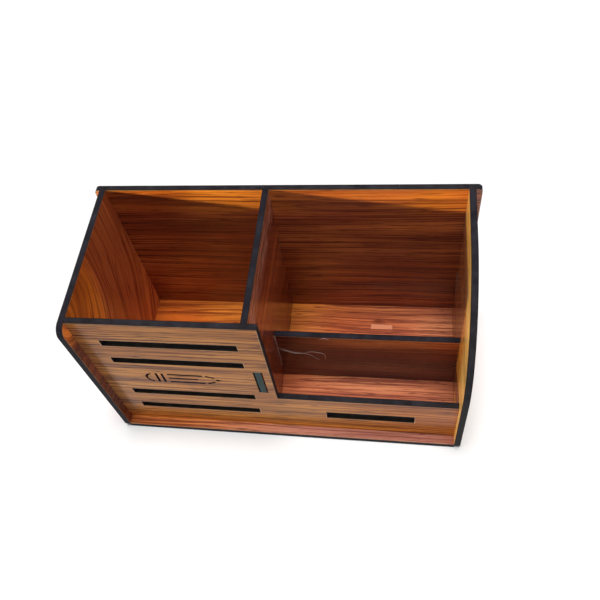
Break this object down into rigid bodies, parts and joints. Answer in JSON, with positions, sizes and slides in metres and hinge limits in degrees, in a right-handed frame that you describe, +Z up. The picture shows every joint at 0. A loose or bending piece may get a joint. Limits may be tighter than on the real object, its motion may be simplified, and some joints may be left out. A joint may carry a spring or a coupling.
{
  "type": "pen stand",
  "caption": "Open desk pen stand of laminated boards: a deep pen cup behind a slotted front, a rear compartment and a low front card tray, held by through tenons.",
  "frame": {"origin": "on the table, under the middle of the whole stand (bottom centre of its box)", "axes": "+X to the right seen from the pierced front, +Y from the front panel to the back panel, +Z up"},
  "size_m": [0.2064, 0.094, 0.1155],
  "materials": {
    "inner_laminate": "satin wood-grain laminate on fibreboard, charred cut edges",
    "side_laminate": "satin wood-grain laminate on fibreboard, charred cut edges",
    "back_laminate": "satin wood-grain laminate on fibreboard, charred cut edges",
    "front_laminate": "satin pale wood-grain laminate on fibreboard, charred cut edges",
    "pale_plug": "satin pale laminate"
  },
  "bodies": {
    "root": {"base_panel": "inner_laminate", "floor_plug": "pale_plug", "left_side_panel": "side_laminate", "right_side_panel": "side_laminate", "back_panel": "back_laminate", "front_panel": "front_laminate", "pen_divider": "side_laminate", "tray_divider": "back_laminate"}
  },
  "joints": []
}
